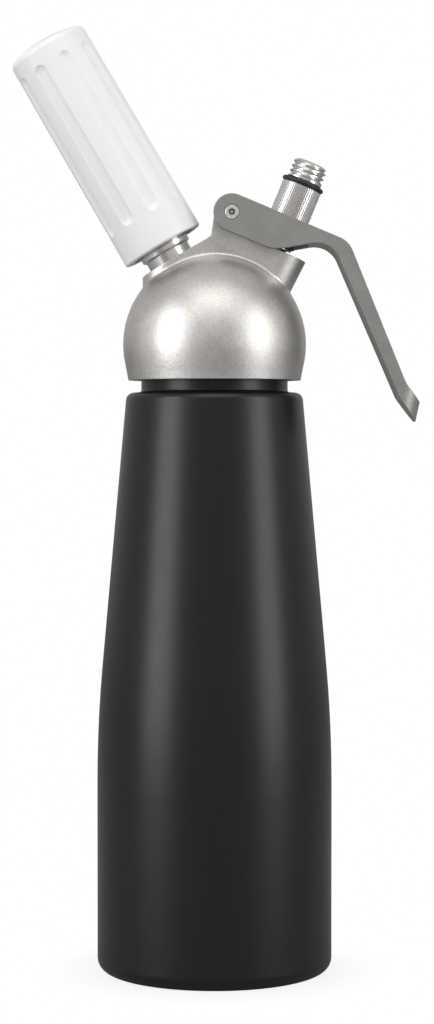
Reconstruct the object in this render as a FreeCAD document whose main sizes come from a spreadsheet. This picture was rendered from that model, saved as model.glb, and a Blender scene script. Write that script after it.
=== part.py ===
import FreeCAD, Part
import math
import os
import Sketcher

# A whipped cream dispenser: lacquered bottle, screw-on cast head, squeeze lever, poppet valve,
# piercing stem, gas charger and its screw-on holder. Origin: centre of the bottle's base, +Z up,
# lever towards +X, charger towards -X. Millimetres and degrees.

SIZES = {
    # bottle
    "bottle_radius": 40.0,
    "bottle_wall": 1.6,
    "base_thickness": 3.6,
    "base_round": 4.5,
    "taper_start": 84.0,
    "taper_blend": 20.0,
    "shoulder_height": 197.1,
    "shoulder_radius": 29.9,
    "shoulder_round": 2.7,
    "neck_length": 17.9,
    "neck_waist": 24.9,
    "neck_fillet": 1.0,
    "mouth_radius": 21.8,
    "neck_thread_crest": 26.0,
    "neck_thread_depth": 1.0,
    "neck_thread_pitch": 3.0,
    "neck_thread_start": 6.0,
    "neck_thread_length": 9.5,
    # gasket
    "gasket_thickness": 2.2,
    "gasket_inner": 21.9,
    # gaps: between pieces that are fixed together, that turn in each other, that only pass
    "seat_gap": 0.03,
    "running_gap": 0.05,
    "free_gap": 0.3,
    "fine_gap": 0.02,
    "tool_over": 1.0,
    # head casting
    "head_sphere": 31.1,
    "centre_above_lip": 12.1,
    "lip_gap": 4.2,
    "lip_radius": 29.3,
    "lip_length": 4.7,
    "cavity_sphere": 23.5,
    # charger axis, crossing the bottle's axis above the head's centre
    "charger_tilt": 30.3,
    "charger_rise": 3.6,
    "boss_block": 60.0,
    "charger_boss_top": 28.8,
    "charger_boss_radius": 9.85,
    # valve axis, crossing the bottle's axis below the head's centre
    "valve_tilt": 22.6,
    "valve_drop": 17.75,
    "valve_boss_top": 53.9,
    "tower_width": 17.0,
    "tower_end": 2.5,
    "tower_depth": 22.0,
    "tower_lean": 27.0,
    "tower_blend": 2.5,
    "root_blend": 1.2,
    "pivot_across": 18.4,
    "pivot_above": 5.46,
    "ear_radius": 5.9,
    "ear_lean": 7.8,
    # piercing stem, along the charger axis from the boss
    "shank_radius": 5.0,
    "shank_length": 12.8,
    "spigot_radius": 3.0,
    "spigot_length": 5.7,
    "gas_bore": 1.2,
    "gas_hole": 0.6,
    "stem_neck": 7.95,
    "stem_neck_length": 3.3,
    "stem_ring": 8.95,
    "stem_ring_length": 2.1,
    "holder_thread_crest": 10.0,
    "holder_thread_depth": 0.8,
    "holder_thread_pitch": 2.0,
    "holder_thread_length": 12.0,
    "stem_length": 21.5,
    "recess_radius": 4.85,
    "recess_depth": 5.7,
    "stem_floor": 9.5,
    "stem_nut_flats": 13.0,
    "stem_nut_height": 3.0,
    "stem_nut_room": 1.7,
    "stem_room_depth": 13.5,
    "stem_thread_lead": 2.4,
    "stem_bevel": 0.35,
    "thread_undercut": 0.1,
    "needle_root": 1.95,
    "needle_root_length": 5.7,
    "needle_radius": 1.1,
    "needle_bore": 0.45,
    "needle_reach": 3.1,
    "needle_bevel": 0.2,
    "charger_seal_thickness": 1.0,
    "check_sleeve_wall": 1.25,
    "check_cap_thickness": 1.1,
    "check_cap_plug": 2.0,
    "check_cap_radius": 4.5,
    # valve, along the valve axis from the boss
    "counterbore_radius": 7.0,
    "counterbore_depth": 8.0,
    "bush_radius": 5.0,
    "bush_flange": 1.8,
    "bush_length": 8.5,
    "bush_ring_wire": 1.1,
    "valve_floor": 15.5,
    "seal_room": 2.0,
    "seal_room_depth": 10.5,
    "valve_stem_radius": 3.4,
    "valve_bore": 1.7,
    "valve_cross_hole": 0.9,
    "valve_spigot": 2.0,
    "valve_stem_top": 15.0,
    "valve_bore_floor": 0.7,
    "spigot_end": 0.6,
    "collar_radius": 5.8,
    "collar_top": 3.6,
    "collar_thickness": 1.6,
    "stem_ring_wire": 0.82,
    "seal_radius": 5.6,
    "seal_thickness": 2.7,
    "seal_nut_flats": 7.5,
    "seal_nut_height": 2.6,
    "spring_radius": 4.7,
    "spring_wire": 0.9,
    "spring_turns": 4.0,
    # nozzle adaptor
    "adaptor_bottom": 7.6,
    "adaptor_radius": 7.2,
    "adaptor_shoulder": 23.4,
    "adaptor_edge": 0.4,
    "nozzle_thread_crest": 6.0,
    "nozzle_thread_depth": 0.95,
    "nozzle_thread_pitch": 1.75,
    "nozzle_thread_length": 8.3,
    "nozzle_thread_relief": 0.45,
    "nozzle_thread_lead": 0.6,
    "nozzle_ring_stretch": 0.35,
    "nozzle_ring_wire": 1.45,
    "nozzle_bore": 2.6,
    "knurl_count": 60.0,
    "knurl_depth": 0.28,
    "knurl_flare": 1.6,
    # lever, from its pivot
    "lever_width": 23.0,
    "fork_gap": 17.6,
    "lever_end_radius": 6.2,
    "fork_length": 28.0,
    "bend_x": 39.3,
    "bend_drop": 9.8,
    "bend_round": 8.0,
    "kink_x": 58.6,
    "kink_drop": 57.4,
    "tip_x": 63.6,
    "tip_drop": 63.8,
    "tip_low_x": 62.2,
    "tip_low_drop": 70.3,
    "inner_kink_x": 56.4,
    "inner_kink_drop": 62.2,
    "inner_bend_x": 33.5,
    "inner_bend_drop": 9.3,
    "inner_bend_round": 8.5,
    "belly_x": 14.28,
    "belly_round": 13.0,
    "tip_round": 7.0,
    "peg_radius": 1.6,
    "peg_gap": 3.9,
    # pivot
    "pivot_radius": 2.0,
    "pivot_bolt_radius": 1.2,
    "pivot_head_radius": 2.35,
    "pivot_head_height": 0.9,
    "pivot_head_sink": 0.5,
    "pivot_head_room": 2.6,
    "pivot_head_round": 0.35,
    "pivot_socket": 1.0,
    "pivot_socket_depth": 0.6,
    "pivot_bolt_length": 13.8,
    # charger holder, along the charger axis from the boss
    "holder_mouth": 5.7,
    "holder_mouth_radius": 14.4,
    "holder_top_radius": 14.05,
    "holder_bore": 11.5,
    "holder_top_wall": 3.0,
    "holder_edge": 0.4,
    "holder_dome": 2.0,
    "holder_dome_edge": 12.5,
    "holder_corner": 2.6,
    "holder_corner_drop": 1.9,
    "flute_count": 9.0,
    "flute_width": 5.0,
    "flute_depth": 0.8,
    "flute_low": 9.5,
    "flute_high": 6.5,
    "flute_phase": 4.3,
    "liner_bore": 9.3,
    "liner_inset": 0.6,
    "liner_thread_over": 0.7,
    "cushion_thickness": 0.75,
    # gas charger
    "charger_radius": 9.0,
    "charger_wall": 1.5,
    "charger_neck": 4.3,
    "charger_neck_length": 6.2,
    "charger_shoulder": 9.0,
    "charger_length": 65.5,
    "charger_pierced": 1.3,
    "charger_cap_thickness": 0.8,
}

document = FreeCAD.newDocument("whipped_cream_dispenser")
sheet = document.addObject("Spreadsheet::Sheet", "Sizes")
for row, (alias, number) in enumerate(SIZES.items(), start=1):
    sheet.set("A%d" % row, alias)
    sheet.set("B%d" % row, str(number))
    sheet.setAlias("B%d" % row, alias)
document.recompute()


class Size:
    """A size worked out from the sheet: its number now, and the formula that keeps it bound."""

    def __init__(self, number, formula):
        self.number = number
        self.formula = formula

    def __add__(self, other):
        other = as_size(other)
        return Size(self.number + other.number, "(%s + %s)" % (self.formula, other.formula))

    def __sub__(self, other):
        other = as_size(other)
        return Size(self.number - other.number, "(%s - %s)" % (self.formula, other.formula))

    def __mul__(self, other):
        other = as_size(other)
        return Size(self.number * other.number, "(%s * %s)" % (self.formula, other.formula))

    def __truediv__(self, other):
        other = as_size(other)
        return Size(self.number / other.number, "(%s / %s)" % (self.formula, other.formula))

    def __rsub__(self, other):
        return as_size(other) - self

    def __neg__(self):
        return Size(-self.number, "(0 - %s)" % self.formula)


def as_size(value):
    """A plain number as a Size, so that both can stand in one formula."""
    return value if isinstance(value, Size) else Size(float(value), "%.9g" % value)


def root(size):
    return Size(math.sqrt(size.number), "sqrt(%s)" % size.formula)


def sine(angle):
    return Size(math.sin(math.radians(angle.number)), "sin(%s)" % angle.formula)


def cosine(angle):
    return Size(math.cos(math.radians(angle.number)), "cos(%s)" % angle.formula)


def tangent(angle):
    return Size(math.tan(math.radians(angle.number)), "tan(%s)" % angle.formula)


class Sheet:
    """Every cell of the sheet, by its alias."""

    def __getattr__(self, alias):
        return Size(SIZES[alias], "Sizes." + alias)


s = Sheet()


def bind(item, path, size):
    """Ties one property of an object to the sheet."""
    item.setExpression(path, as_size(size).formula)


def origin_plane(body, role):
    return next(plane for plane in body.Origin.OriginFeatures if plane.Role == role)


def origin_axis(body):
    return next(item for item in body.Origin.OriginFeatures if item.Role == "Z_Axis")


def new_body(name):
    body = document.addObject("PartDesign::Body", name)
    body.Label = name
    return body


class Stand:
    """A place in the head: a point in the XZ plane and a lean from the vertical towards +X."""

    def __init__(self, across, height, lean):
        self.across = across
        self.height = height
        self.lean = lean

    def along(self, right, up):
        """The point that lies so far to the right of this one and above it, in its leaning frame."""
        return Stand(
            self.across + cosine(self.lean) * right + sine(self.lean) * up,
            self.height + cosine(self.lean) * up - sine(self.lean) * right,
            self.lean,
        )


def put_on(body, stand):
    """Places a piece so that its own Z axis leans with the stand."""
    body.Placement = FreeCAD.Placement(
        FreeCAD.Vector(stand.across.number, 0, stand.height.number),
        FreeCAD.Rotation(FreeCAD.Vector(0, 1, 0), stand.lean.number),
    )
    bind(body, "Placement.Base.x", stand.across)
    bind(body, "Placement.Base.z", stand.height)
    bind(body, "Placement.Rotation.Angle", stand.lean)


def blank_sketch(body, name, plane):
    sketch = body.newObject("Sketcher::SketchObject", name)
    sketch.AttachmentSupport = (origin_plane(body, plane), [""])
    sketch.MapMode = "FlatFace"
    return sketch


def lean_sketch(sketch, stand):
    """Turns a sketch in the XZ plane so that its vertical axis is the stand's axis."""
    sketch.AttachmentOffset = FreeCAD.Placement(
        FreeCAD.Vector(stand.across.number, stand.height.number, 0),
        FreeCAD.Rotation(FreeCAD.Vector(0, 0, 1), -stand.lean.number),
    )
    bind(sketch, "AttachmentOffset.Base.x", stand.across)
    bind(sketch, "AttachmentOffset.Base.y", stand.height)
    bind(sketch, "AttachmentOffset.Rotation.Angle", -stand.lean)


def tilt_plan(sketch, stand):
    """Lays a sketch of the XY plane square to the stand's axis."""
    sketch.AttachmentOffset = FreeCAD.Placement(
        FreeCAD.Vector(stand.across.number, 0, stand.height.number),
        FreeCAD.Rotation(FreeCAD.Vector(0, 1, 0), stand.lean.number),
    )
    bind(sketch, "AttachmentOffset.Base.x", stand.across)
    bind(sketch, "AttachmentOffset.Base.z", stand.height)
    bind(sketch, "AttachmentOffset.Rotation.Angle", stand.lean)


def arc_edge(start, end, radius):
    """An arc from start to end: a positive radius turns left, a negative one turns right."""
    chord = end - start
    middle = (start + end) * 0.5
    reach = math.sqrt(max(radius * radius - chord.Length * chord.Length / 4, 0))
    left = FreeCAD.Vector(-chord.y, chord.x, 0).normalize()
    centre = middle + left * (reach if radius > 0 else -reach)
    first, last = (start, end) if radius > 0 else (end, start)
    angles = [math.atan2(point.y - centre.y, point.x - centre.x) for point in (first, last)]
    if angles[1] < angles[0]:
        angles[1] += 2 * math.pi
    circle = Part.Circle(centre, FreeCAD.Vector(0, 0, 1), abs(radius))
    return Part.ArcOfCircle(circle, angles[0], angles[1])


def draw(sketch, corners):
    """A closed outline. Each corner is (x, y), or (x, y, radius) where an arc arrives at it."""
    corners = [tuple(as_size(value) for value in corner) for corner in corners]
    points = [FreeCAD.Vector(corner[0].number, corner[1].number, 0) for corner in corners]
    starts = []
    count = len(corners)
    for index in range(count):
        target = corners[(index + 1) % count]
        start, end = points[index], points[(index + 1) % count]
        if len(target) == 3:
            edge = sketch.addGeometry(arc_edge(start, end, target[2].number))
            starts.append((edge, 1, 2) if target[2].number > 0 else (edge, 2, 1))
        else:
            edge = sketch.addGeometry(Part.LineSegment(start, end))
            starts.append((edge, 1, 2))
    for index in range(count):
        edge, start, end = starts[index]
        following = starts[(index + 1) % count]
        sketch.addConstraint(Sketcher.Constraint("Coincident", edge, end, following[0], following[1]))
    for index in range(count):
        edge, start, end = starts[index]
        for kind, size in (("DistanceX", corners[index][0]), ("DistanceY", corners[index][1])):
            rule = sketch.addConstraint(Sketcher.Constraint(kind, edge, start, size.number))
            bind(sketch, "Constraints[%d]" % rule, size)
        target = corners[(index + 1) % count]
        if len(target) == 3:
            radius = target[2] if target[2].number > 0 else -target[2]
            rule = sketch.addConstraint(Sketcher.Constraint("Radius", edge, radius.number))
            bind(sketch, "Constraints[%d]" % rule, radius)
    return sketch


def draw_circle(sketch, across, height, radius):
    across, height, radius = as_size(across), as_size(height), as_size(radius)
    centre = FreeCAD.Vector(across.number, height.number, 0)
    circle = sketch.addGeometry(Part.Circle(centre, FreeCAD.Vector(0, 0, 1), radius.number))
    for kind, size in (("DistanceX", across), ("DistanceY", height)):
        rule = sketch.addConstraint(Sketcher.Constraint(kind, circle, 3, size.number))
        bind(sketch, "Constraints[%d]" % rule, size)
    rule = sketch.addConstraint(Sketcher.Constraint("Radius", circle, radius.number))
    bind(sketch, "Constraints[%d]" % rule, radius)
    return sketch


def spin(body, kind, name, sketch):
    """Turns a sketch about its own vertical axis: a Revolution adds, a Groove cuts."""
    feature = body.newObject("PartDesign::" + kind, name)
    feature.Profile = sketch
    feature.ReferenceAxis = (sketch, ["V_Axis"])
    feature.Angle = 360
    return feature


def turned(name, outline):
    """A piece turned on a lathe: its half section is (radius, height) about its own Z axis."""
    body = new_body(name)
    section = draw(blank_sketch(body, name + "_section", "XZ_Plane"), outline)
    spin(body, "Revolution", name + "_turned", section)
    return body


def extrude(body, kind, name, sketch, length):
    """A Pad or a Pocket, half its length to each side of the sketch."""
    feature = body.newObject("PartDesign::" + kind, name)
    feature.Profile = sketch
    feature.SideType = "Symmetric"
    bind(feature, "Length", length)
    return feature


def cut_thread(body, name, crest, depth, pitch, low, length):
    """A screw thread: a helical groove cut into the crest cylinder, with flat crests left between."""
    crest_share = 0.14
    root_share = 0.12
    over = 0.25
    mouth = pitch * ((1 - crest_share) / 2)
    flare = (mouth - pitch * (root_share / 2)) / depth
    wide = mouth + flare * over
    narrow = pitch * (root_share / 2)
    outline = [
        (crest - depth, low - narrow),
        (crest + over, low - wide),
        (crest + over, low + wide),
        (crest - depth, low + narrow),
    ]
    sketch = draw(blank_sketch(body, name + "_form", "XZ_Plane"), outline)
    helix = body.newObject("PartDesign::SubtractiveHelix", name)
    helix.Profile = sketch
    helix.ReferenceAxis = (sketch, ["V_Axis"])
    helix.Mode = 0
    bind(helix, "Pitch", pitch)
    bind(helix, "Height", length)
    return helix


def nearest_edges(shape, spots):
    """The names of the edges whose middles lie nearest to the given spots."""
    middles = []
    for edge in shape.Edges:
        middles.append(edge.valueAt((edge.FirstParameter + edge.LastParameter) / 2))
    names = []
    for spot in spots:
        gaps = [(middle - spot).Length for middle in middles]
        names.append("Edge%d" % (gaps.index(min(gaps)) + 1))
    return names


def corner_of(across, drop):
    return FreeCAD.Vector(across.number, 0, -drop.number)


def fillet(body, name, radius, spots):
    """Rounds the edges that lie nearest to the given spots."""
    document.recompute()
    base = body.Tip
    feature = body.newObject("PartDesign::Fillet", name)
    feature.Base = (base, nearest_edges(base.Shape, spots))
    bind(feature, "Radius", radius)
    document.recompute()
    return feature


def hexagon(flats):
    """The six corners of a nut, from its width across flats."""
    corner = flats / math.sqrt(3)
    return [
        (corner, 0),
        (corner / 2, flats / 2),
        (-(corner / 2), flats / 2),
        (-corner, 0),
        (-(corner / 2), -(flats / 2)),
        (corner / 2, -(flats / 2)),
    ]


def hex_nut(name, flats, bore, low, height):
    """A hexagon nut standing on its own Z axis."""
    body = new_body(name)
    plan = draw(blank_sketch(body, name + "_plan", "XY_Plane"), hexagon(flats))
    bind(plan, "AttachmentOffset.Base.z", low + height / 2)
    extrude(body, "Pad", name + "_block", plan, height)
    hole = draw_circle(blank_sketch(body, name + "_hole", "XY_Plane"), 0, 0, bore)
    bind(hole, "AttachmentOffset.Base.z", low + height / 2)
    extrude(body, "Pocket", name + "_bore", hole, height * 2)
    return body


def o_ring(name, middle_radius, wire, height, stand):
    """A round rubber ring, lying square to its stand's axis."""
    ring = document.addObject("Part::Torus", name)
    ring.Label = name
    bind(ring, "Radius1", middle_radius)
    bind(ring, "Radius2", wire / 2)
    put_on(ring, stand.along(as_size(0), height))
    return ring


NONE = as_size(0)
lip_height = s.shoulder_height + s.lip_gap
head_centre = lip_height + s.centre_above_lip
charger_cross = head_centre + s.charger_rise
valve_cross = head_centre - s.valve_drop
charger_stand = Stand(NONE, charger_cross, -s.charger_tilt).along(NONE, s.charger_boss_top)
valve_stand = Stand(NONE, valve_cross, s.valve_tilt).along(NONE, s.valve_boss_top)
pivot_stand = valve_stand.along(-s.pivot_across, s.pivot_above)
rim = s.shoulder_height + s.neck_length
head_seat = rim + s.gasket_thickness + s.seat_gap
neck_room = s.neck_thread_crest + s.free_gap


def make_bottle():
    """Impact-extruded bottle: straight below, tapering up to a small shoulder and a threaded neck."""
    run = s.bottle_radius - s.shoulder_radius
    rise = s.shoulder_height - s.taper_start
    slant = root(run * run + rise * rise)
    lean_sine = run / slant
    lean_cosine = rise / slant
    blend_x = s.bottle_radius - s.taper_blend * lean_sine
    blend_z = s.taper_start + s.taper_blend * lean_cosine
    blend_round = s.taper_blend * lean_sine / (1 - lean_cosine)
    reach = s.shoulder_round * (1 - lean_sine) / lean_cosine
    inside = s.bottle_radius - s.bottle_wall
    under = s.shoulder_height - s.bottle_wall
    inside_corner = s.shoulder_radius + s.bottle_wall * run / rise - s.bottle_wall / lean_cosine
    thread_low = s.shoulder_height + s.neck_thread_start
    thread_high = thread_low + s.neck_thread_length
    slope = s.neck_thread_crest - s.neck_waist
    outline = [
        (0, 0),
        (s.bottle_radius - s.base_round, 0),
        (s.bottle_radius, s.base_round, s.base_round),
        (s.bottle_radius, s.taper_start - s.taper_blend),
        (blend_x, blend_z, blend_round),
        (s.shoulder_radius + reach * lean_sine, s.shoulder_height - reach * lean_cosine),
        (s.shoulder_radius - reach, s.shoulder_height, s.shoulder_round),
        (s.neck_waist + s.neck_fillet, s.shoulder_height),
        (s.neck_waist, s.shoulder_height + s.neck_fillet, -s.neck_fillet),
        (s.neck_waist, thread_low - slope),
        (s.neck_thread_crest, thread_low),
        (s.neck_thread_crest, thread_high),
        (s.neck_waist, thread_high + slope),
        (s.neck_waist, rim),
        (s.mouth_radius, rim),
        (s.mouth_radius, under),
        (inside_corner, under),
        (blend_x - s.bottle_wall * lean_cosine, blend_z - s.bottle_wall * lean_sine),
        (inside, s.taper_start - s.taper_blend, -(blend_round - s.bottle_wall)),
        (inside, s.base_thickness + s.base_round - s.bottle_wall),
        (s.bottle_radius - s.base_round, s.base_thickness, -(s.base_round - s.bottle_wall)),
        (0, s.base_thickness),
    ]
    body = turned("bottle", outline)
    cut_thread(
        body, "neck_thread", s.neck_thread_crest, s.neck_thread_depth, s.neck_thread_pitch,
        thread_low, s.neck_thread_length,
    )
    return body


def make_gasket():
    """Flat silicone ring between the bottle's rim and the head."""
    low = rim + s.seat_gap
    high = rim + s.gasket_thickness
    outer = s.neck_thread_crest
    ring = [(s.gasket_inner, low), (outer, low), (outer, high), (s.gasket_inner, high)]
    return turned("head_gasket", ring)


def make_head_casing():
    """The cast head: a dome with a skirt, a flat charger boss, and a tower for valve and lever."""
    body = new_body("head_casing")
    lip_top = lip_height + s.lip_length
    lip_drop = head_centre - lip_top
    dome_edge = root(s.head_sphere * s.head_sphere - lip_drop * lip_drop)
    dome = [
        (0, lip_height),
        (s.lip_radius, lip_height),
        (dome_edge, lip_top),
        (0, head_centre + s.head_sphere, s.head_sphere),
    ]
    spin(body, "Revolution", "dome", draw(blank_sketch(body, "dome_section", "XZ_Plane"), dome))

    # the charger boss is drawn upright through the dome and cut square to the charger's axis
    edge = s.tower_width / 2
    middle = charger_stand.across
    radius = s.charger_boss_radius
    plan = [
        (0, -edge),
        (0, edge),
        (middle, radius),
        (middle - radius, 0, radius),
        (middle, -radius, radius),
    ]
    boss_plan = draw(blank_sketch(body, "boss_plan", "XY_Plane"), plan)
    bind(boss_plan, "AttachmentOffset.Base.z", head_centre + s.boss_block / 2)
    extrude(body, "Pad", "charger_boss", boss_plan, s.boss_block)
    over = s.boss_block
    above_boss = [(-over, 0), (over, 0), (over, over), (-over, over)]
    roof = draw(blank_sketch(body, "boss_roof", "XZ_Plane"), above_boss)
    lean_sketch(roof, charger_stand)
    extrude(body, "Pocket", "boss_top", roof, over)

    # the tower runs from the lever's ear to a round end beside the valve
    run = s.tower_end
    back = s.pivot_across
    tower = [
        (run, -edge),
        (run + edge, 0, edge),
        (run, edge, edge),
        (-back, edge),
        (-back, -edge),
    ]
    tower_plan = draw(blank_sketch(body, "tower_plan", "XY_Plane"), tower)
    tilt_plan(tower_plan, valve_stand)
    web = body.newObject("PartDesign::Pad", "tower")
    web.Profile = tower_plan
    bind(web, "Length", s.tower_depth)
    web.UseCustomVector = True
    web.AlongSketchNormal = False
    bind(web, "Direction.x", -sine(s.tower_lean))
    bind(web, "Direction.y", NONE)
    bind(web, "Direction.z", -cosine(s.tower_lean))

    # the ear stands up round the pivot; its left edge leans down to the charger boss
    lean = s.ear_lean
    left_x = pivot_stand.across - s.ear_radius * cosine(lean)
    left_z = pivot_stand.height + s.ear_radius * sine(lean)
    ear_low = head_centre + s.cavity_sphere
    drop = left_z - ear_low
    right_x = pivot_stand.across + s.ear_radius
    ear = [
        (left_x, left_z, s.ear_radius),
        (left_x - drop * tangent(lean), ear_low),
        (right_x, ear_low),
        (right_x, pivot_stand.height),
        (pivot_stand.across, pivot_stand.height + s.ear_radius, s.ear_radius),
    ]
    ear_side = draw(blank_sketch(body, "ear_side", "XZ_Plane"), ear)
    extrude(body, "Pad", "ear", ear_side, s.tower_width)

    # soft inside corners, as a casting has
    slope = tangent(s.charger_tilt)
    foot_gap = left_x.number - charger_stand.across.number
    foot_rise = left_z.number - charger_stand.height.number - foot_gap * slope.number
    foot_drop = foot_rise / (1 - tangent(lean).number * slope.number)
    foot = FreeCAD.Vector(
        left_x.number - foot_drop * tangent(lean).number, 0, left_z.number - foot_drop
    )
    fillet(body, "ear_foot", s.tower_blend, [foot])
    reach = s.tower_end.number + edge.number * math.cos(math.radians(45))
    sphere = s.head_sphere.number
    roots = []
    for side_y in (-edge.number, edge.number):
        height = head_centre.number + math.sqrt(sphere * sphere - side_y * side_y - reach * reach)
        roots.append(FreeCAD.Vector(reach, side_y, height))
    end_x = valve_stand.across.number + s.tower_end.number * 2
    roots.append(FreeCAD.Vector(end_x, 0, head_centre.number + s.tower_width.number))
    fillet(body, "tower_root", s.root_blend, roots)

    # hollow underneath, threaded for the bottle's neck
    seat_drop = head_seat - head_centre
    hollow = [
        (0, lip_height - s.lip_length),
        (neck_room, lip_height - s.lip_length),
        (neck_room, head_seat),
        (root(s.cavity_sphere * s.cavity_sphere - seat_drop * seat_drop), head_seat),
        (0, head_centre + s.cavity_sphere, s.cavity_sphere),
    ]
    spin(body, "Groove", "hollow", draw(blank_sketch(body, "hollow_section", "XZ_Plane"), hollow))

    # the valve's bore, wider above for its spring and below for its seal
    above = s.tool_over
    ring_radius = s.bush_radius + s.bush_ring_wire + s.running_gap
    ring_floor = -(s.counterbore_depth + s.bush_ring_wire + s.running_gap * 2)
    seal_radius = s.seal_radius + s.seal_room
    seal_floor = -(s.valve_floor + s.seal_room_depth)
    valve_bore = [
        (0, above),
        (s.counterbore_radius, above),
        (s.counterbore_radius, -s.counterbore_depth),
        (ring_radius, -s.counterbore_depth),
        (ring_radius, ring_floor),
        (s.bush_radius + s.seat_gap, ring_floor),
        (s.bush_radius + s.seat_gap, -s.valve_floor),
        (seal_radius, -s.valve_floor),
        (seal_radius, seal_floor),
        (0, seal_floor),
    ]
    sketch = draw(blank_sketch(body, "valve_bore_section", "XZ_Plane"), valve_bore)
    lean_sketch(sketch, valve_stand)
    spin(body, "Groove", "valve_bore", sketch)

    # the piercing stem's bore
    nut_room = s.stem_nut_flats / 2 + s.stem_nut_room
    nut_floor = -(s.stem_floor + s.stem_room_depth)
    stem_bore = [
        (0, above),
        (s.shank_radius + s.seat_gap, above),
        (s.shank_radius + s.seat_gap, -s.stem_floor),
        (nut_room, -s.stem_floor),
        (nut_room, nut_floor),
        (0, nut_floor),
    ]
    sketch = draw(blank_sketch(body, "stem_bore_section", "XZ_Plane"), stem_bore)
    lean_sketch(sketch, charger_stand)
    spin(body, "Groove", "stem_bore", sketch)

    sketch = blank_sketch(body, "pivot_hole_plan", "XZ_Plane")
    draw_circle(sketch, pivot_stand.across, pivot_stand.height, s.pivot_radius + s.running_gap)
    extrude(body, "Pocket", "pivot_hole", sketch, s.tower_width * 2)
    return body


def make_piercing_stem():
    """Nickelled brass stem that screws into the charger boss and carries the holder's thread."""
    shank_low = -s.shank_length
    spigot_low = shank_low - s.spigot_length
    ring_low = s.stem_neck_length
    ring_high = ring_low + s.stem_ring_length
    thread_root = s.holder_thread_crest - s.holder_thread_depth - s.thread_undercut
    thread_low = ring_high + s.stem_thread_lead
    thread_high = thread_low + s.holder_thread_length
    floor = s.stem_length - s.recess_depth
    bevel = s.stem_bevel
    outline = [
        (s.gas_bore, spigot_low),
        (s.spigot_radius, spigot_low),
        (s.spigot_radius, shank_low),
        (s.shank_radius, shank_low),
        (s.shank_radius, s.seat_gap),
        (s.stem_neck, s.seat_gap),
        (s.stem_neck, ring_low - bevel),
        (s.stem_ring, ring_low + bevel),
        (s.stem_ring, ring_high - bevel),
        (s.stem_ring - bevel, ring_high),
        (thread_root, ring_high),
        (thread_root, thread_low - s.holder_thread_depth),
        (s.holder_thread_crest, thread_low),
        (s.holder_thread_crest, thread_high),
        (thread_root, thread_high + s.holder_thread_depth),
        (thread_root, s.stem_length),
        (s.recess_radius, s.stem_length),
        (s.recess_radius, floor),
        (s.needle_root + s.seat_gap, floor),
        (s.needle_root + s.seat_gap, floor - s.needle_root_length),
        (s.gas_bore, floor - s.needle_root_length),
    ]
    body = turned("piercing_stem", outline)
    holes = blank_sketch(body, "gas_hole_plan", "XZ_Plane")
    draw_circle(holes, 0, spigot_low + s.spigot_length / 2, s.gas_hole)
    extrude(body, "Pocket", "gas_holes", holes, s.spigot_radius * 3)
    cut_thread(
        body, "holder_thread", s.holder_thread_crest, s.holder_thread_depth, s.holder_thread_pitch,
        thread_low, s.holder_thread_length,
    )
    put_on(body, charger_stand)
    return body


def make_piercing_needle():
    floor = s.stem_length - s.recess_depth
    low = floor - s.needle_root_length + s.seat_gap
    shoulder = floor - s.seat_gap
    top = floor + s.needle_reach
    outline = [
        (s.needle_bore, low),
        (s.needle_root, low),
        (s.needle_root, shoulder - s.needle_bevel),
        (s.needle_radius, shoulder),
        (s.needle_radius, top - s.needle_radius),
        (s.needle_bore, top),
    ]
    body = turned("piercing_needle", outline)
    put_on(body, charger_stand)
    return body


def make_charger_seal():
    low = s.stem_length - s.recess_depth + s.seat_gap
    high = low + s.charger_seal_thickness
    inner = s.needle_radius + s.free_gap
    outer = s.recess_radius - s.running_gap
    body = turned("charger_seal", [(inner, low), (outer, low), (outer, high), (inner, high)])
    put_on(body, charger_stand)
    return body


def make_stem_nut():
    low = -(s.stem_floor + s.stem_nut_height + s.seat_gap)
    body = hex_nut("stem_nut", s.stem_nut_flats, s.shank_radius + s.seat_gap, low, s.stem_nut_height)
    put_on(body, charger_stand)
    return body


def make_check_valve():
    """Rubber sleeve over the stem's gas holes: gas lifts it, cream cannot push back past it."""
    high = -(s.shank_length + s.seat_gap)
    low = high - s.spigot_length + s.free_gap
    inner = s.spigot_radius + s.seat_gap
    outer = s.spigot_radius + s.check_sleeve_wall
    body = turned("check_valve", [(inner, low), (outer, low), (outer, high), (inner, high)])
    put_on(body, charger_stand)
    return body


def make_check_valve_cap():
    high = -(s.shank_length + s.spigot_length + s.seat_gap)
    low = high - s.check_cap_thickness
    plug = high + s.check_cap_plug
    outline = [
        (0, low),
        (s.check_cap_radius, low),
        (s.check_cap_radius, high),
        (s.gas_bore - s.seat_gap, high),
        (s.gas_bore - s.seat_gap, plug),
        (0, plug),
    ]
    body = turned("check_valve_cap", outline)
    put_on(body, charger_stand)
    return body


bush_low = -(s.counterbore_depth + s.bush_length)
flange_low = s.seat_gap - s.counterbore_depth
flange_top = flange_low + s.bush_flange


def make_valve_bush():
    outer = s.counterbore_radius - s.running_gap
    bore = s.valve_stem_radius + s.running_gap
    outline = [
        (bore, bush_low),
        (s.bush_radius, bush_low),
        (s.bush_radius, flange_low),
        (outer, flange_low),
        (outer, flange_top),
        (bore, flange_top),
    ]
    body = turned("valve_bush", outline)
    put_on(body, valve_stand)
    return body


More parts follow.
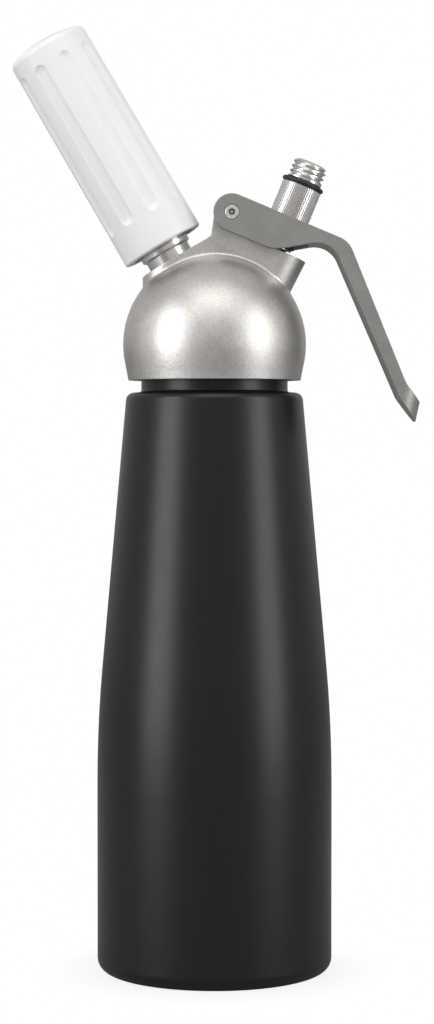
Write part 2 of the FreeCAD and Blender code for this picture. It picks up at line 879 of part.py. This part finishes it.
def make_valve_stem():
    """Hollow stem: cross holes above the seal, a collar for the lever, and a plain upper end."""
    ring_floor = s.valve_stem_radius - s.stem_ring_wire - s.seat_gap
    ring_middle = (bush_low + flange_top) / 2
    half_ring = s.stem_ring_wire / 2 + s.running_gap
    seal_top = bush_low - s.running_gap
    spigot_low = seal_top - s.seal_thickness - s.seal_nut_height - s.spigot_end
    bore_low = seal_top + s.valve_bore_floor
    hole = bore_low + s.valve_cross_hole + s.running_gap * 2
    outline = [
        (0, spigot_low),
        (s.valve_spigot, spigot_low),
        (s.valve_spigot, seal_top),
        (s.valve_stem_radius, seal_top),
        (s.valve_stem_radius, ring_middle - half_ring),
        (ring_floor, ring_middle - half_ring),
        (ring_floor, ring_middle + half_ring),
        (s.valve_stem_radius, ring_middle + half_ring),
        (s.valve_stem_radius, s.collar_top - s.collar_thickness),
        (s.collar_radius, s.collar_top - s.collar_thickness),
        (s.collar_radius, s.collar_top),
        (s.valve_stem_radius, s.collar_top),
        (s.valve_stem_radius, s.valve_stem_top),
        (s.valve_bore, s.valve_stem_top),
        (s.valve_bore, bore_low),
        (0, bore_low),
    ]
    body = turned("valve_stem", outline)
    sketch = blank_sketch(body, "cross_hole_plan", "XZ_Plane")
    draw_circle(sketch, 0, hole, s.valve_cross_hole)
    extrude(body, "Pocket", "cross_holes", sketch, s.valve_stem_radius * 3)
    put_on(body, valve_stand)
    ring_radius = ring_floor + s.stem_ring_wire / 2 + s.fine_gap / 2
    o_ring("stem_o_ring", ring_radius, s.stem_ring_wire, ring_middle, valve_stand)
    return body


def make_valve_seal():
    high = bush_low - s.running_gap - s.fine_gap
    low = high - s.seal_thickness + s.fine_gap
    inner = s.valve_spigot + s.seat_gap
    outline = [(inner, low), (s.seal_radius, low), (s.seal_radius, high), (inner, high)]
    body = turned("valve_seal", outline)
    put_on(body, valve_stand)
    return body


def make_seal_nut():
    low = bush_low - s.running_gap - s.seal_thickness - s.seal_nut_height - s.seat_gap
    body = hex_nut("seal_nut", s.seal_nut_flats, s.valve_spigot + s.seat_gap, low, s.seal_nut_height)
    put_on(body, valve_stand)
    return body


def make_valve_spring():
    """Return spring between the bush and the stem's collar."""
    body = new_body("valve_spring")
    gap = s.running_gap
    low = flange_top + s.spring_wire / 2 + gap
    high = s.collar_top - s.collar_thickness - s.spring_wire / 2 - gap
    sketch = draw_circle(blank_sketch(body, "wire", "XZ_Plane"), s.spring_radius, low, s.spring_wire / 2)
    coil = body.newObject("PartDesign::AdditiveHelix", "coil")
    coil.Profile = sketch
    coil.ReferenceAxis = (sketch, ["V_Axis"])
    coil.Mode = 0
    bind(coil, "Height", high - low)
    bind(coil, "Pitch", (high - low) / s.spring_turns)
    put_on(body, valve_stand)
    return body


def make_nozzle_adaptor():
    """Knurled, plated adaptor on the stem: the decorating nozzle screws onto its thread."""
    body = new_body("nozzle_adaptor")
    thread_low = s.adaptor_shoulder + s.nozzle_ring_wire
    top = s.adaptor_shoulder + s.nozzle_thread_length
    bevel = s.nozzle_thread_depth
    relief = s.nozzle_thread_crest - s.nozzle_thread_relief
    stem_room = s.valve_stem_top + s.free_gap
    outline = [
        (s.valve_stem_radius + s.seat_gap, s.adaptor_bottom),
        (s.adaptor_radius - s.adaptor_edge, s.adaptor_bottom),
        (s.adaptor_radius, s.adaptor_bottom + s.adaptor_edge),
        (s.adaptor_radius, s.adaptor_shoulder - s.adaptor_edge),
        (s.adaptor_radius - s.adaptor_edge, s.adaptor_shoulder),
        (relief, s.adaptor_shoulder),
        (relief, thread_low),
        (s.nozzle_thread_crest, thread_low + s.nozzle_thread_relief),
        (s.nozzle_thread_crest, top - bevel),
        (s.nozzle_thread_crest - bevel, top),
        (s.nozzle_bore, top),
        (s.nozzle_bore, stem_room),
        (s.valve_stem_radius + s.seat_gap, stem_room),
    ]
    section = draw(blank_sketch(body, "adaptor_section", "XZ_Plane"), outline)
    spin(body, "Revolution", "adaptor_turned", section)
    cut_thread(
        body, "nozzle_thread", s.nozzle_thread_crest, s.nozzle_thread_depth, s.nozzle_thread_pitch,
        thread_low + s.nozzle_thread_lead, s.nozzle_thread_length - s.nozzle_ring_wire,
    )
    # the knurl is straight: one groove from end to end, repeated round the barrel
    barrel = s.adaptor_shoulder - s.adaptor_bottom
    groove = [
        (s.adaptor_radius - s.knurl_depth, 0),
        (s.adaptor_radius + s.knurl_depth, -s.knurl_depth * s.knurl_flare),
        (s.adaptor_radius + s.knurl_depth, s.knurl_depth * s.knurl_flare),
    ]
    plan = draw(blank_sketch(body, "knurl_plan", "XY_Plane"), groove)
    bind(plan, "AttachmentOffset.Base.z", s.adaptor_bottom + barrel / 2)
    cut = extrude(body, "Pocket", "knurl_groove", plan, barrel + s.adaptor_edge)
    document.recompute()
    knurl = body.newObject("PartDesign::PolarPattern", "knurl")
    knurl.Originals = [cut]
    knurl.Axis = (origin_axis(body), [""])
    knurl.Angle = 360
    bind(knurl, "Occurrences", s.knurl_count)
    body.Tip = knurl
    put_on(body, valve_stand)
    ring_middle = relief + s.nozzle_ring_wire / 2 + s.nozzle_ring_stretch
    o_ring(
        "nozzle_o_ring", ring_middle, s.nozzle_ring_wire,
        s.adaptor_shoulder + s.nozzle_ring_wire / 2 + s.seat_gap, valve_stand,
    )
    return body


def make_lever():
    """Die-cast lever: a fork round the tower and the valve, then a solid arm with a turned-out tip."""
    body = new_body("lever")
    lean = s.valve_tilt
    end = s.lever_end_radius
    belly_drop = end / cosine(lean) + s.belly_x * tangent(lean)
    outline = [
        (-end, 0, end),
        (-(end * sine(lean)), -(end * cosine(lean)), end),
        (s.belly_x, -belly_drop),
        (s.inner_bend_x, -s.inner_bend_drop),
        (s.inner_kink_x, -s.inner_kink_drop),
        (s.tip_low_x, -s.tip_low_drop),
        (s.tip_x, -s.tip_drop),
        (s.kink_x, -s.kink_drop),
        (s.bend_x, -s.bend_drop),
        (end * sine(lean), end * cosine(lean)),
    ]
    side = draw(blank_sketch(body, "lever_side", "XZ_Plane"), outline)
    extrude(body, "Pad", "lever_plate", side, s.lever_width)
    fillet(body, "belly", s.belly_round, [FreeCAD.Vector(s.belly_x.number, 0, -belly_drop.number)])
    fillet(body, "inner_bend", s.inner_bend_round, [corner_of(s.inner_bend_x, s.inner_bend_drop)])
    fillet(body, "outer_bend", s.bend_round, [corner_of(s.bend_x, s.bend_drop)])
    kinks = [corner_of(s.kink_x, s.kink_drop), corner_of(s.inner_kink_x, s.inner_kink_drop)]
    fillet(body, "kinks", s.tip_round, kinks)
    tip_x = (s.tip_x + s.tip_low_x) / 2
    tip_z = (s.tip_drop + s.tip_low_drop) / 2
    half = s.lever_width.number / 2
    tips = [FreeCAD.Vector(tip_x.number, side_y, -tip_z.number) for side_y in (-half, half)]
    fillet(body, "tip_corners", s.tip_round, tips)

    # the fork, open above and below
    gap = s.fork_gap / 2
    plan = draw(
        blank_sketch(body, "fork_plan", "XY_Plane"),
        [(-(end * 2), -gap), (s.fork_length, -gap), (s.fork_length, gap), (-(end * 2), gap)],
    )
    tilt_plan(plan, Stand(NONE, NONE, lean))
    extrude(body, "Pocket", "fork", plan, end * 7)

    # two pegs reach in from the cheeks and press on the stem's collar
    peg = Stand(NONE, NONE, lean).along(s.pivot_across, NONE)
    sketch = blank_sketch(body, "peg_side", "XZ_Plane")
    draw_circle(sketch, peg.across, peg.height, s.peg_radius)
    extrude(body, "Pad", "pegs", sketch, s.fork_gap + s.tool_over)
    room = s.peg_radius * 2
    window = [
        (s.pivot_across - room, -s.peg_gap),
        (s.pivot_across + room, -s.peg_gap),
        (s.pivot_across + room, s.peg_gap),
        (s.pivot_across - room, s.peg_gap),
    ]
    plan = draw(blank_sketch(body, "peg_window", "XY_Plane"), window)
    tilt_plan(plan, Stand(NONE, NONE, lean))
    extrude(body, "Pocket", "peg_gap", plan, end * 2)

    sketch = blank_sketch(body, "pivot_plan", "XZ_Plane")
    draw_circle(sketch, 0, 0, s.pivot_radius + s.running_gap)
    extrude(body, "Pocket", "pivot_bore", sketch, s.lever_width * 2)
    for side_name, side_y in (("front", s.lever_width / 2), ("back", -(s.lever_width / 2))):
        sketch = blank_sketch(body, side_name + "_sink_plan", "XZ_Plane")
        draw_circle(sketch, 0, 0, s.pivot_head_room)
        bind(sketch, "AttachmentOffset.Base.z", side_y)
        extrude(body, "Pocket", side_name + "_sink", sketch, s.pivot_head_sink * 2)
    put_on(body, Stand(pivot_stand.across, pivot_stand.height, NONE))
    return body


def put_on_pivot(body):
    """Lays a turned piece along the pivot, its own Z axis towards -Y."""
    body.Placement = FreeCAD.Placement(
        FreeCAD.Vector(pivot_stand.across.number, 0, pivot_stand.height.number),
        FreeCAD.Rotation(FreeCAD.Vector(1, 0, 0), 90),
    )
    bind(body, "Placement.Base.x", pivot_stand.across)
    bind(body, "Placement.Base.z", pivot_stand.height)


def make_pivot():
    """A two-part pivot: a headed sleeve from behind and a headed screw from the front."""
    seat = s.lever_width / 2 - s.pivot_head_sink + s.running_gap
    top = seat + s.pivot_head_height
    round_off = s.pivot_head_round
    bolt_end = seat - s.pivot_bolt_length
    sleeve_end = seat - s.running_gap
    head = s.pivot_head_radius
    socket = s.pivot_socket
    socket_floor = top - s.pivot_socket_depth
    screw = [
        (0, bolt_end),
        (s.pivot_bolt_radius, bolt_end),
        (s.pivot_bolt_radius, seat),
        (head, seat),
        (head, top - round_off),
        (head - round_off, top),
        (socket, top),
        (socket, socket_floor),
        (0, socket_floor),
    ]
    put_on_pivot(turned("pivot_screw", screw))
    bore = s.pivot_bolt_radius + s.seat_gap
    bore_end = bolt_end - s.tool_over
    sleeve = [
        (0, -top),
        (head - round_off, -top),
        (head, -(top - round_off)),
        (head, -seat),
        (s.pivot_radius, -seat),
        (s.pivot_radius, sleeve_end),
        (bore, sleeve_end),
        (bore, bore_end),
        (0, bore_end),
    ]
    put_on_pivot(turned("pivot_sleeve", sleeve))


charger_tip = s.stem_length - s.recess_depth + s.seat_gap + s.charger_seal_thickness + s.running_gap
charger_top = charger_tip + s.charger_length
liner_top = charger_top + s.running_gap + s.cushion_thickness
liner_radius = s.holder_bore - s.seat_gap
holder_apex = liner_top + s.seat_gap + s.holder_top_wall


def make_holder_sleeve():
    """Moulded sleeve with a domed end and shallow finger flutes that end in round scoops."""
    body = new_body("holder_sleeve")
    edge = s.holder_edge
    dome_edge = holder_apex - s.holder_dome
    side_top = dome_edge - s.holder_corner_drop
    roof = holder_apex - s.holder_top_wall
    flat = s.holder_dome_edge
    crown = (flat * flat + s.holder_dome * s.holder_dome) / (s.holder_dome * 2)
    outline = [
        (s.holder_bore, s.holder_mouth),
        (s.holder_mouth_radius - edge, s.holder_mouth),
        (s.holder_mouth_radius, s.holder_mouth + edge),
        (s.holder_top_radius, side_top),
        (flat, dome_edge, s.holder_corner),
        (0, holder_apex, crown),
        (0, roof),
        (s.holder_bore, roof),
    ]
    sketch = draw(blank_sketch(body, "sleeve_section", "XZ_Plane"), outline)
    spin(body, "Revolution", "sleeve_turned", sketch)
    half = s.flute_width / 2
    scoop = (half * half + s.flute_depth * s.flute_depth) / (s.flute_depth * 2)
    reach = s.holder_top_radius + scoop - s.flute_depth
    low = s.holder_mouth + s.flute_low
    high = holder_apex - s.flute_high
    tool = [
        (0, low),
        (scoop, low + scoop, scoop),
        (scoop, high - scoop),
        (0, high, scoop),
    ]
    sketch = draw(blank_sketch(body, "flute_section", "XZ_Plane"), tool)
    sketch.AttachmentOffset = FreeCAD.Placement(
        FreeCAD.Vector(reach.number, 0, 0),
        FreeCAD.Rotation(FreeCAD.Vector(0, 1, 0), s.flute_phase.number),
    )
    bind(sketch, "AttachmentOffset.Base.x", reach * cosine(s.flute_phase))
    bind(sketch, "AttachmentOffset.Base.z", -(reach * sine(s.flute_phase)))
    bind(sketch, "AttachmentOffset.Rotation.Angle", s.flute_phase)
    flute = spin(body, "Groove", "flute", sketch)
    document.recompute()
    flutes = body.newObject("PartDesign::PolarPattern", "flutes")
    flutes.Originals = [flute]
    flutes.Axis = (origin_axis(body), [""])
    flutes.Angle = 360
    bind(flutes, "Occurrences", s.flute_count)
    body.Tip = flutes
    put_on(body, charger_stand)
    return body


def make_holder_liner():
    """Aluminium liner fixed in the sleeve: female thread below, charger's bore above."""
    low = s.holder_mouth + s.liner_inset
    thread_top = s.stem_length + s.liner_thread_over
    thread_bore = s.holder_thread_crest + s.running_gap
    outline = [
        (thread_bore, low),
        (liner_radius, low),
        (liner_radius, liner_top),
        (s.liner_bore, liner_top),
        (s.liner_bore, thread_top),
        (thread_bore, thread_top),
    ]
    body = turned("holder_liner", outline)
    put_on(body, charger_stand)
    return body


def make_holder_cushion():
    high = liner_top
    low = high - s.cushion_thickness
    outer = s.liner_bore - s.running_gap
    body = turned("holder_cushion", [(0, low), (outer, low), (outer, high), (0, high)])
    put_on(body, charger_stand)
    return body


def make_gas_charger():
    """Drawn steel cylinder with a narrow neck and a round end, pierced in use."""
    wall = s.charger_wall
    radius = s.charger_radius
    neck_top = charger_tip + s.charger_neck_length
    side_low = neck_top + s.charger_shoulder
    outline = [
        (s.charger_neck - wall, charger_tip),
        (s.charger_neck, charger_tip),
        (s.charger_neck, neck_top),
        (radius, side_low),
        (radius, charger_top - radius),
        (0, charger_top, radius),
        (0, charger_top - wall),
        (radius - wall, charger_top - radius, -(radius - wall)),
        (radius - wall, side_low + wall / 3),
        (s.charger_neck - wall, neck_top + wall / 3),
    ]
    body = turned("gas_charger", outline)
    put_on(body, charger_stand)
    return body


def make_charger_cap():
    low = charger_tip + s.running_gap
    high = low + s.charger_cap_thickness
    outer = s.charger_neck - s.charger_wall - s.seat_gap
    outline = [(s.charger_pierced, low), (outer, low), (outer, high), (s.charger_pierced, high)]
    body = turned("charger_cap", outline)
    put_on(body, charger_stand)
    return body


make_bottle()
make_gasket()
make_head_casing()
make_piercing_stem()
make_piercing_needle()
make_charger_seal()
make_stem_nut()
make_check_valve()
make_check_valve_cap()
make_valve_bush()
o_ring(
    "bush_o_ring", s.bush_radius + s.bush_ring_wire / 2 + s.fine_gap, s.bush_ring_wire,
    -(s.counterbore_depth + s.bush_ring_wire / 2 + s.running_gap), valve_stand,
)
make_valve_stem()
make_valve_seal()
make_seal_nut()
make_valve_spring()
make_nozzle_adaptor()
make_lever()
make_pivot()
make_holder_sleeve()
make_holder_liner()
make_holder_cushion()
make_gas_charger()
make_charger_cap()
document.recompute()

failed = [item.Name for item in document.Objects if "Invalid" in item.State or "Error" in item.State]
if failed:
    raise RuntimeError("failed: " + ", ".join(failed))

pieces = [item for item in document.Objects if item.TypeId in ("PartDesign::Body", "Part::Torus")]
for piece in pieces:
    if piece.Shape.isNull() or not piece.Shape.isValid():
        raise RuntimeError("bad shape: " + piece.Label)

os.makedirs("parts", exist_ok=True)
for piece in pieces:
    piece.Shape.exportStep(os.path.join("parts", piece.Label + ".step"))
    print(piece.Label, len(piece.Shape.Solids), round(piece.Shape.Volume / 1000, 3), "cm3")
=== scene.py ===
import math

import bmesh
import bpy
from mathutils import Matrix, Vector


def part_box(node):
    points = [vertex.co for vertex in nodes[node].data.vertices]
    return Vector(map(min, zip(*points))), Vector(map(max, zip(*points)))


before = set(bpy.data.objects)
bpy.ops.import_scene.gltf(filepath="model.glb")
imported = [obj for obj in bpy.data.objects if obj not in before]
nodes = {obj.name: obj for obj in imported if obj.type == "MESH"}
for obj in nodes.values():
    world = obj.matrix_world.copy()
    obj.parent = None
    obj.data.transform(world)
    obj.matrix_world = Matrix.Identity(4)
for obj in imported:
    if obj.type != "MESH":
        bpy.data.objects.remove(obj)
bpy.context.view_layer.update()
scene = bpy.context.scene
MM = 0.001


# Bottle: impact-extruded aluminium, sprayed with a black lacquer that is stoved to a soft satin.
# It takes every other piece: the head screws onto its neck, and it stands on its flat foot.
def linear(code):
    """An sRGB hex colour as the linear RGBA that a shader takes."""
    parts = [int(code[i:i + 2], 16) / 255 for i in (1, 3, 5)]
    return [c / 12.92 if c <= 0.04045 else ((c + 0.055) / 1.055) ** 2.4 for c in parts] + [1]


def add(finish, kind, values=None, links=None, **settings):
    """One shader node in a finish, with its settings, its plain inputs and its linked ones."""
    new = finish.node_tree.nodes.new(kind)
    for name, value in settings.items():
        setattr(new, name, value)
    for name, value in (values or {}).items():
        new.inputs[name].default_value = value
    for name, source in (links or {}).items():
        finish.node_tree.links.new(source, new.inputs[name])
    return new


def start_finish(name):
    """An empty finish: its shader, its output and a coordinate in the object's own metres."""
    finish = bpy.data.materials.new(name)
    finish.use_nodes = True
    finish.node_tree.nodes.clear()
    shader = add(finish, "ShaderNodeBsdfPrincipled")
    add(finish, "ShaderNodeOutputMaterial", links={"Surface": shader.outputs["BSDF"]})
    place = add(finish, "ShaderNodeTexCoord").outputs["Object"]
    return finish, shader, place


def speckle(finish, shader, place, grain, depth, colour, spread=0.0, rough=0.4, vary=0.05, edge=0.0):
    """Fine grain of a real size in millimetres: a little bump, roughness and tone, and soft edges."""
    noise = add(
        finish, "ShaderNodeTexNoise", {"Scale": 1 / (grain * MM), "Detail": 2.0, "Roughness": 0.6},
        {"Vector": place},
    )
    bump = add(
        finish, "ShaderNodeBump", {"Strength": 1.0, "Distance": depth * MM},
        {"Height": noise.outputs["Fac"]},
    )
    if edge:
        soft = add(finish, "ShaderNodeBevel", {"Radius": edge * MM}, samples=6)
        finish.node_tree.links.new(soft.outputs["Normal"], bump.inputs["Normal"])
    finish.node_tree.links.new(bump.outputs["Normal"], shader.inputs["Normal"])
    cloud_grain = grain * 14
    cloud = add(
        finish, "ShaderNodeTexNoise", {"Scale": 1 / (cloud_grain * MM), "Detail": 3.0}, {"Vector": place}
    )
    gloss = add(
        finish, "ShaderNodeMapRange",
        {"From Min": 0.3, "From Max": 0.7, "To Min": rough - vary, "To Max": rough + vary},
        {"Value": cloud.outputs["Fac"]},
    )
    finish.node_tree.links.new(gloss.outputs["Result"], shader.inputs["Roughness"])
    tone = linear(colour)
    fleck = add(
        finish, "ShaderNodeMath", links={0: noise.outputs["Fac"], 1: cloud.outputs["Fac"]},
        operation="ADD",
    )
    shade = add(
        finish, "ShaderNodeMapRange",
        {"From Min": 0.7, "From Max": 1.3, "To Min": 1 - spread, "To Max": 1 + spread},
        {"Value": fleck.outputs[0]},
    )
    tint = add(
        finish, "ShaderNodeVectorMath", {0: tone[:3]}, {"Scale": shade.outputs["Result"]},
        operation="SCALE",
    )
    finish.node_tree.links.new(tint.outputs["Vector"], shader.inputs["Base Color"])
    return tint


def dress(name, finish):
    """Gives a CAD piece its finish."""
    mesh = nodes[name].data
    mesh.materials.clear()
    mesh.materials.append(finish)


lacquer, shader, place = start_finish("stoved_black_lacquer")
speckle(
    lacquer, shader, place, grain=0.35, depth=0.003, colour="#0d0d0e", spread=0.05, rough=0.34, vary=0.015
)
shader.inputs["Specular IOR Level"].default_value = 0.4
dress("bottle", lacquer)

# Head gasket: a flat moulded ring of translucent white silicone, pressed into the head.
# It is soft and matte, and only its outer edge shows when the head is off.
silicone, shader, place = start_finish("moulded_silicone")
speckle(silicone, shader, place, grain=0.5, depth=0.003, colour="#d9d9d6", spread=0.03, rough=0.5)
dress("head_gasket", silicone)

# Head: aluminium casting, bead blasted all over, so that it shines softly with no sharp reflection.
# Its edges are broken by the blast, and fine flecks from the mould stay in its skin.
blasted, shader, place = start_finish("bead_blasted_aluminium")
shader.inputs["Metallic"].default_value = 1.0
speckle(
    blasted, shader, place, grain=0.9, depth=0.05, colour="#cac7c3", spread=0.13, rough=0.44, vary=0.03,
    edge=0.4,
)
dress("head_casing", blasted)

# Piercing stem and nozzle adaptor: turned brass with a bright nickel plate.
# The stem carries the holder's thread, and the adaptor's knurl and thread take a screw-on nozzle.
nickel, shader, place = start_finish("nickel_plated_brass")
shader.inputs["Metallic"].default_value = 1.0
speckle(
    nickel, shader, place, grain=0.6, depth=0.001, colour="#e2e0de", spread=0.03, rough=0.24, vary=0.03
)
for name in ("piercing_stem", "nozzle_adaptor"):
    dress(name, nickel)

# Valve stem: brass deep between the lever's cheeks, coloured dark as painted shade for the shadow it sits
# in there. Its collar takes the lever's push, and gas and cream pass up through its bore.
shaded_brass, shader, place = start_finish("brass_with_painted_shade")
shader.inputs["Metallic"].default_value = 1.0
# Painted shade: the stem's base colour is kept dark for the shadow between the cheeks.
speckle(
    shaded_brass, shader, place, grain=0.6, depth=0.002, colour="#5d5a52", spread=0.05, rough=0.5, vary=0.03
)
dress("valve_stem", shaded_brass)

# Small turned brass pieces inside the head: nuts, the valve's bush and the sleeve's cap.
# They are bare, with the fine marks that the tool left.
brass, shader, place = start_finish("turned_brass")
shader.inputs["Metallic"].default_value = 1.0
speckle(brass, shader, place, grain=0.4, depth=0.004, colour="#c8a562", spread=0.06, rough=0.3)
for name in ("stem_nut", "check_valve_cap", "valve_bush", "seal_nut"):
    dress(name, brass)

# Black nitrile O-rings, seals and the holder's cushion, moulded, with a dull skin.
# Only the ring under the nozzle's thread is seen from outside.
nitrile, shader, place = start_finish("moulded_nitrile")
speckle(nitrile, shader, place, grain=0.3, depth=0.004, colour="#161616", spread=0.1, rough=0.45)
for name in (
    "bush_o_ring", "stem_o_ring", "nozzle_o_ring", "charger_seal", "check_valve", "valve_seal",
    "holder_cushion",
):
    dress(name, nitrile)

# Steel pieces: drawn spring wire, the piercing needle, the rear of the lever's pivot,
# and the drawn gas charger with its cap.
steel, shader, place = start_finish("bright_steel")
shader.inputs["Metallic"].default_value = 1.0
speckle(steel, shader, place, grain=0.5, depth=0.003, colour="#d2d1cf", spread=0.04, rough=0.22)
for name in ("valve_spring", "piercing_needle", "pivot_sleeve", "gas_charger", "charger_cap"):
    dress(name, steel)

# Pivot screw: bright polished steel. Its small round socket is painted dark as shade in the recess,
# with a painted highlight as a bright point at its centre.
polished, shader, place = start_finish("polished_screw_steel")
shader.inputs["Metallic"].default_value = 1.0
tint = speckle(
    polished, shader, place, grain=0.5, depth=0.001, colour="#f0efed", spread=0.02, rough=0.3, vary=0.03
)
screw_low, screw_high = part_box("pivot_screw")
pivot_centre = [(low + high) / 2 for low, high in zip(screw_low, screw_high)]
socket_floor, socket_rim = 0.9 * MM, 1.25 * MM
point_core, point_rim = 0.35 * MM, 0.6 * MM
hub = add(polished, "ShaderNodeVectorMath", {1: pivot_centre}, {0: place}, operation="SUBTRACT")
flat = add(
    polished, "ShaderNodeVectorMath", {1: (1, 0, 1)}, {0: hub.outputs["Vector"]}, operation="MULTIPLY"
)
radius = add(polished, "ShaderNodeVectorMath", links={0: flat.outputs["Vector"]}, operation="LENGTH")
# Painted shade darkens the colour towards the socket's floor, and a painted highlight brightens its
# centre.
socket = add(
    polished, "ShaderNodeMapRange",
    {"From Min": socket_floor, "From Max": socket_rim, "To Min": 0.12, "To Max": 1.0},
    {"Value": radius.outputs["Value"]},
)
centre = add(
    polished, "ShaderNodeMapRange",
    {"From Min": point_core, "From Max": point_rim, "To Min": 0.8, "To Max": 0.0},
    {"Value": radius.outputs["Value"]},
)
socket_shade_and_glint = add(
    polished, "ShaderNodeMath", links={0: socket.outputs["Result"], 1: centre.outputs["Result"]},
    operation="MAXIMUM",
)
shade_and_glint_tint = add(
    polished, "ShaderNodeVectorMath", links={0: tint.outputs["Vector"], "Scale": socket_shade_and_glint.outputs[0]},
    operation="SCALE",
)
polished.node_tree.links.new(shade_and_glint_tint.outputs["Vector"], shader.inputs["Base Color"])
dress("pivot_screw", polished)

# Lever: zinc die casting under a matte warm-grey powder coat with a metallic lustre.
# It forks round the tower, turns on the pivot and presses on the valve stem's collar.
powder, shader, place = start_finish("grey_powder_coat")
shader.inputs["Metallic"].default_value = 0.75
speckle(
    powder, shader, place, grain=0.4, depth=0.008, colour="#9b9994", spread=0.05, rough=0.45, vary=0.03,
    edge=0.35,
)
dress("lever", powder)

# Charger holder: white ABS sleeve, injection moulded with a fine satin skin, over a turned
# aluminium liner that screws onto the piercing stem.
plastic, shader, place = start_finish("white_moulded_abs")
speckle(
    plastic, shader, place, grain=0.5, depth=0.004, colour="#e5e5e7", spread=0.01, rough=0.38, vary=0.02,
    edge=0.3,
)
dress("holder_sleeve", plastic)
turned_aluminium, shader, place = start_finish("turned_aluminium")
shader.inputs["Metallic"].default_value = 1.0
speckle(
    turned_aluminium, shader, place, grain=0.4, depth=0.004, colour="#bdbdbf", spread=0.04, rough=0.3
)
dress("holder_liner", turned_aluminium)

# Studio: white paper under the object, which keeps a faint shadow round its foot and is pure
# white beyond, and a white surround.
floor_reach = 12.0
shadow_start, shadow_end = 30 * MM, 62 * MM
shadow_tone = 0.87
floor_mesh = bpy.data.meshes.new("floor")
sheet = bmesh.new()
bmesh.ops.create_grid(sheet, x_segments=1, y_segments=1, size=floor_reach)
sheet.to_mesh(floor_mesh)
sheet.free()
floor = bpy.data.objects.new("floor", floor_mesh)
scene.collection.objects.link(floor)
paper = bpy.data.materials.new("white_paper")
paper.use_nodes = True
paper.node_tree.nodes.clear()
matt = add(paper, "ShaderNodeBsdfDiffuse", {"Color": linear("#a8a8a8")})
glow = add(paper, "ShaderNodeEmission", {"Color": (1, 1, 1, 1), "Strength": 1.0})
ray = add(paper, "ShaderNodeLightPath")
where = add(paper, "ShaderNodeTexCoord").outputs["Object"]
away = add(paper, "ShaderNodeVectorMath", links={0: where}, operation="LENGTH")
fade = add(
    paper, "ShaderNodeMapRange",
    {"From Min": shadow_start, "From Max": shadow_end, "To Min": shadow_tone, "To Max": 1.0},
    {"Value": away.outputs["Value"]}, interpolation_type="SMOOTHSTEP",
)
share = add(
    paper, "ShaderNodeMath", links={0: ray.outputs["Is Camera Ray"], 1: fade.outputs["Result"]},
    operation="MULTIPLY",
)
mixed = add(
    paper, "ShaderNodeMixShader",
    links={0: share.outputs[0], 1: matt.outputs[0], 2: glow.outputs[0]},
)
add(paper, "ShaderNodeOutputMaterial", links={"Surface": mixed.outputs[0]})
floor_mesh.materials.append(paper)

world = bpy.data.worlds.new("white_surround")
scene.world = world
world.use_nodes = True
world.node_tree.nodes.clear()
ray = add(world, "ShaderNodeLightPath")
ambient = 0.53
seen = add(
    world, "ShaderNodeMath",
    links={0: ray.outputs["Is Camera Ray"], 1: ray.outputs["Is Transmission Ray"]}, operation="MAXIMUM",
)
level = add(
    world, "ShaderNodeMapRange", {"To Min": ambient, "To Max": 1.0}, {"Value": seen.outputs[0]}
)
sky = add(world, "ShaderNodeBackground", {"Color": (1, 1, 1, 1)}, {"Strength": level.outputs[0]})
add(world, "ShaderNodeOutputWorld", links={"Surface": sky.outputs[0]})


def softbox(name, azimuth, height, distance, width, tall, power, aim=0.16):
    """A plain rectangular studio light, turned to face the object."""
    lamp = bpy.data.lights.new(name, "AREA")
    lamp.shape = "RECTANGLE"
    lamp.size = width
    lamp.size_y = tall
    lamp.energy = power
    turn = math.radians(azimuth)
    stand = bpy.data.objects.new(name, lamp)
    stand.location = (math.sin(turn) * distance, -math.cos(turn) * distance, height)
    look = Vector((0, 0, aim)) - stand.location
    stand.rotation_euler = look.to_track_quat("-Z", "Y").to_euler()
    scene.collection.objects.link(stand)


softbox("left_box", -58, 0.22, 1.0, 0.48, 1.4, 9.0)
softbox("right_box", 59, 0.22, 1.0, 0.42, 1.4, 7.2)
softbox("top_box", 0, 1.05, 0.55, 0.8, 0.6, 3.0, aim=0.22)

# Camera: square to the lever's plane, a little below the bottle's shoulder and dipped slightly, as
# found by matching the photograph.
focal_length = 90.95
dip = 1.73
camera = bpy.data.cameras.new("camera")
camera.sensor_width = 36.0
camera.lens = focal_length
eye = bpy.data.objects.new("camera", camera)
eye.location = (0.00085, -0.881, 0.1831)
eye.rotation_euler = (math.radians(90 - dip), 0, 0)
scene.collection.objects.link(eye)
scene.camera = eye

scene.view_settings.view_transform = "Standard"
